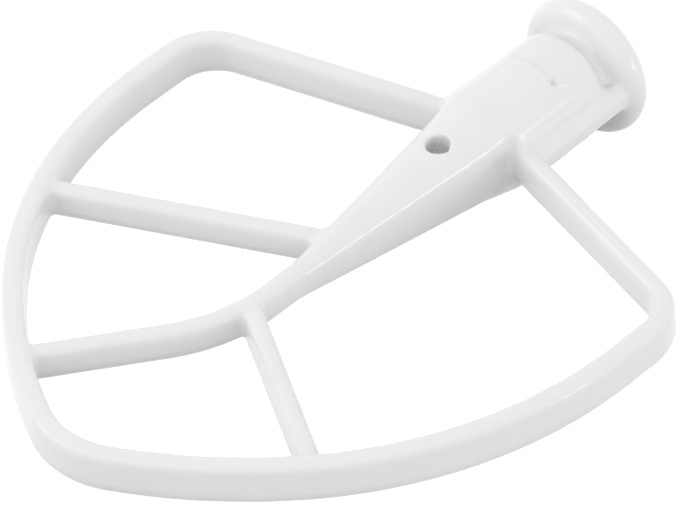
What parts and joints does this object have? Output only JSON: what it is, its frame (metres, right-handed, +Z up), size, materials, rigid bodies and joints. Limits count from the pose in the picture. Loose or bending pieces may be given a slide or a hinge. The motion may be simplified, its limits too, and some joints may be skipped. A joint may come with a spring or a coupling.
{
  "type": "stand mixer flat beater",
  "caption": "Flat mixing beater with a rounded frame, cast ribs, a flat-sided shank and a collar bored for a drive shaft with a pin.",
  "frame": {"origin": "middle of the bounding box at the height of the flat ground that the beater lies on", "axes": "+Y along the beater towards its collar, +X across the frame, +Z up from the ground it lies on"},
  "size_m": [0.133, 0.1552, 0.0303],
  "materials": {
    "coat": "smooth glossy white coat"
  },
  "bodies": {
    "root": {"beater": "coat"}
  },
  "joints": []
}
